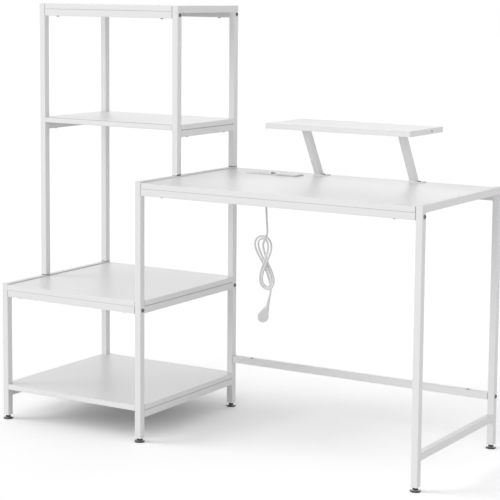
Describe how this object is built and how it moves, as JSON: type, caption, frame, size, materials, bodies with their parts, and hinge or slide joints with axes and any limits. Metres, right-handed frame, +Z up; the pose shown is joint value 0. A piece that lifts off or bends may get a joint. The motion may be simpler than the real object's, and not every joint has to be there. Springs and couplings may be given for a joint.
{
  "type": "computer desk with shelves",
  "caption": "White computer desk on square steel tube frames with a side tower of shelves, a raised monitor shelf, a power strip in the top and a hanging mains lead.",
  "frame": {"origin": "on the floor, under the middle of the outline of the desk and its tower", "axes": "+X along the desk to the right as the user sits at it, +Y to the back, +Z up"},
  "size_m": [1.378, 0.508, 1.228],
  "materials": {
    "white_steel": "satin white powder coat",
    "white_board": "white melamine-faced chipboard, satin",
    "dark_fastener": "black oxide",
    "zinc_plug": "bright zinc",
    "grey_plastic": "moulded, matt",
    "foot_steel": "black, matt",
    "white_plastic": "moulded, half gloss",
    "dark_plastic": "moulded, high gloss",
    "white_cord": "soft white PVC",
    "brass_blade": "bright"
  },
  "bodies": {
    "desk_frame": {"left_front_leg": "white_steel", "left_rear_leg": "white_steel", "left_top_rail": "white_steel", "left_bottom_rail": "white_steel", "middle_front_leg": "white_steel", "middle_rear_leg": "white_steel", "middle_top_rail": "white_steel", "middle_shelf_rail": "white_steel", "middle_bottom_rail": "white_steel", "right_front_leg": "white_steel", "right_rear_leg": "white_steel", "right_top_rail": "white_steel", "right_bottom_rail": "white_steel", "upper_left_front_post": "white_steel", "upper_left_rear_post": "white_steel", "upper_left_top_rail": "white_steel", "upper_left_shelf_rail": "white_steel", "upper_right_front_post": "white_steel", "upper_right_rear_post": "white_steel", "upper_right_top_rail": "white_steel", "upper_right_shelf_rail": "white_steel", "top_front_rail": "white_steel", "top_rear_rail": "white_steel", "middle_front_rail": "white_steel", "middle_rear_rail": "white_steel", "desk_front_rail": "white_steel", "desk_rear_rail": "white_steel", "back_stretcher": "white_steel", "riser_leg_left": "white_steel", "riser_leg_right": "white_steel", "riser_plates": "white_steel", "top_shelf": "white_board", "upper_shelf": "white_board", "middle_shelf": "white_board", "bottom_shelf": "white_board", "desktop": "white_board", "monitor_shelf": "white_board", "frame_bolts": "dark_fastener", "panel_screws": "dark_fastener", "riser_bolts": "dark_fastener", "riser_screws": "dark_fastener", "rail_nuts": "zinc_plug", "post_plugs": "grey_plastic", "leg_inserts": "grey_plastic", "strip_body": "white_plastic", "strip_face_plate": "white_plastic", "socket_inserts": "white_plastic", "strip_cover": "white_plastic", "cord_gland": "white_cord", "cord_drop": "white_cord", "cord_hank": "white_cord", "plug_body": "white_cord", "plug_blades": "brass_blade"},
    "left_front_foot": {"left_front_foot": "foot_steel"},
    "left_rear_foot": {"left_rear_foot": "foot_steel"},
    "middle_front_foot": {"middle_front_foot": "foot_steel"},
    "middle_rear_foot": {"middle_rear_foot": "foot_steel"},
    "right_front_foot": {"right_front_foot": "foot_steel"},
    "right_rear_foot": {"right_rear_foot": "foot_steel"},
    "rocker_switch": {"rocker_switch": "dark_plastic"}
  },
  "joints": [
    {"name": "left_front_foot_adjust", "type": "slide", "parent": "desk_frame", "child": "left_front_foot", "axis": [0, 0, -1], "range_m": [0, 0.01]},
    {"name": "left_rear_foot_adjust", "type": "slide", "parent": "desk_frame", "child": "left_rear_foot", "axis": [0, 0, -1], "range_m": [0, 0.01]},
    {"name": "middle_front_foot_adjust", "type": "slide", "parent": "desk_frame", "child": "middle_front_foot", "axis": [0, 0, -1], "range_m": [0, 0.01]},
    {"name": "middle_rear_foot_adjust", "type": "slide", "parent": "desk_frame", "child": "middle_rear_foot", "axis": [0, 0, -1], "range_m": [0, 0.01]},
    {"name": "right_front_foot_adjust", "type": "slide", "parent": "desk_frame", "child": "right_front_foot", "axis": [0, 0, -1], "range_m": [0, 0.01]},
    {"name": "right_rear_foot_adjust", "type": "slide", "parent": "desk_frame", "child": "right_rear_foot", "axis": [0, 0, -1], "range_m": [0, 0.01]},
    {"name": "rocker_tilt", "type": "hinge", "parent": "desk_frame", "child": "rocker_switch", "pos_m": [0.0005, 0.16935, 0.7352], "axis": [0, -1, 0], "range_deg": [0, 12]}
  ]
}
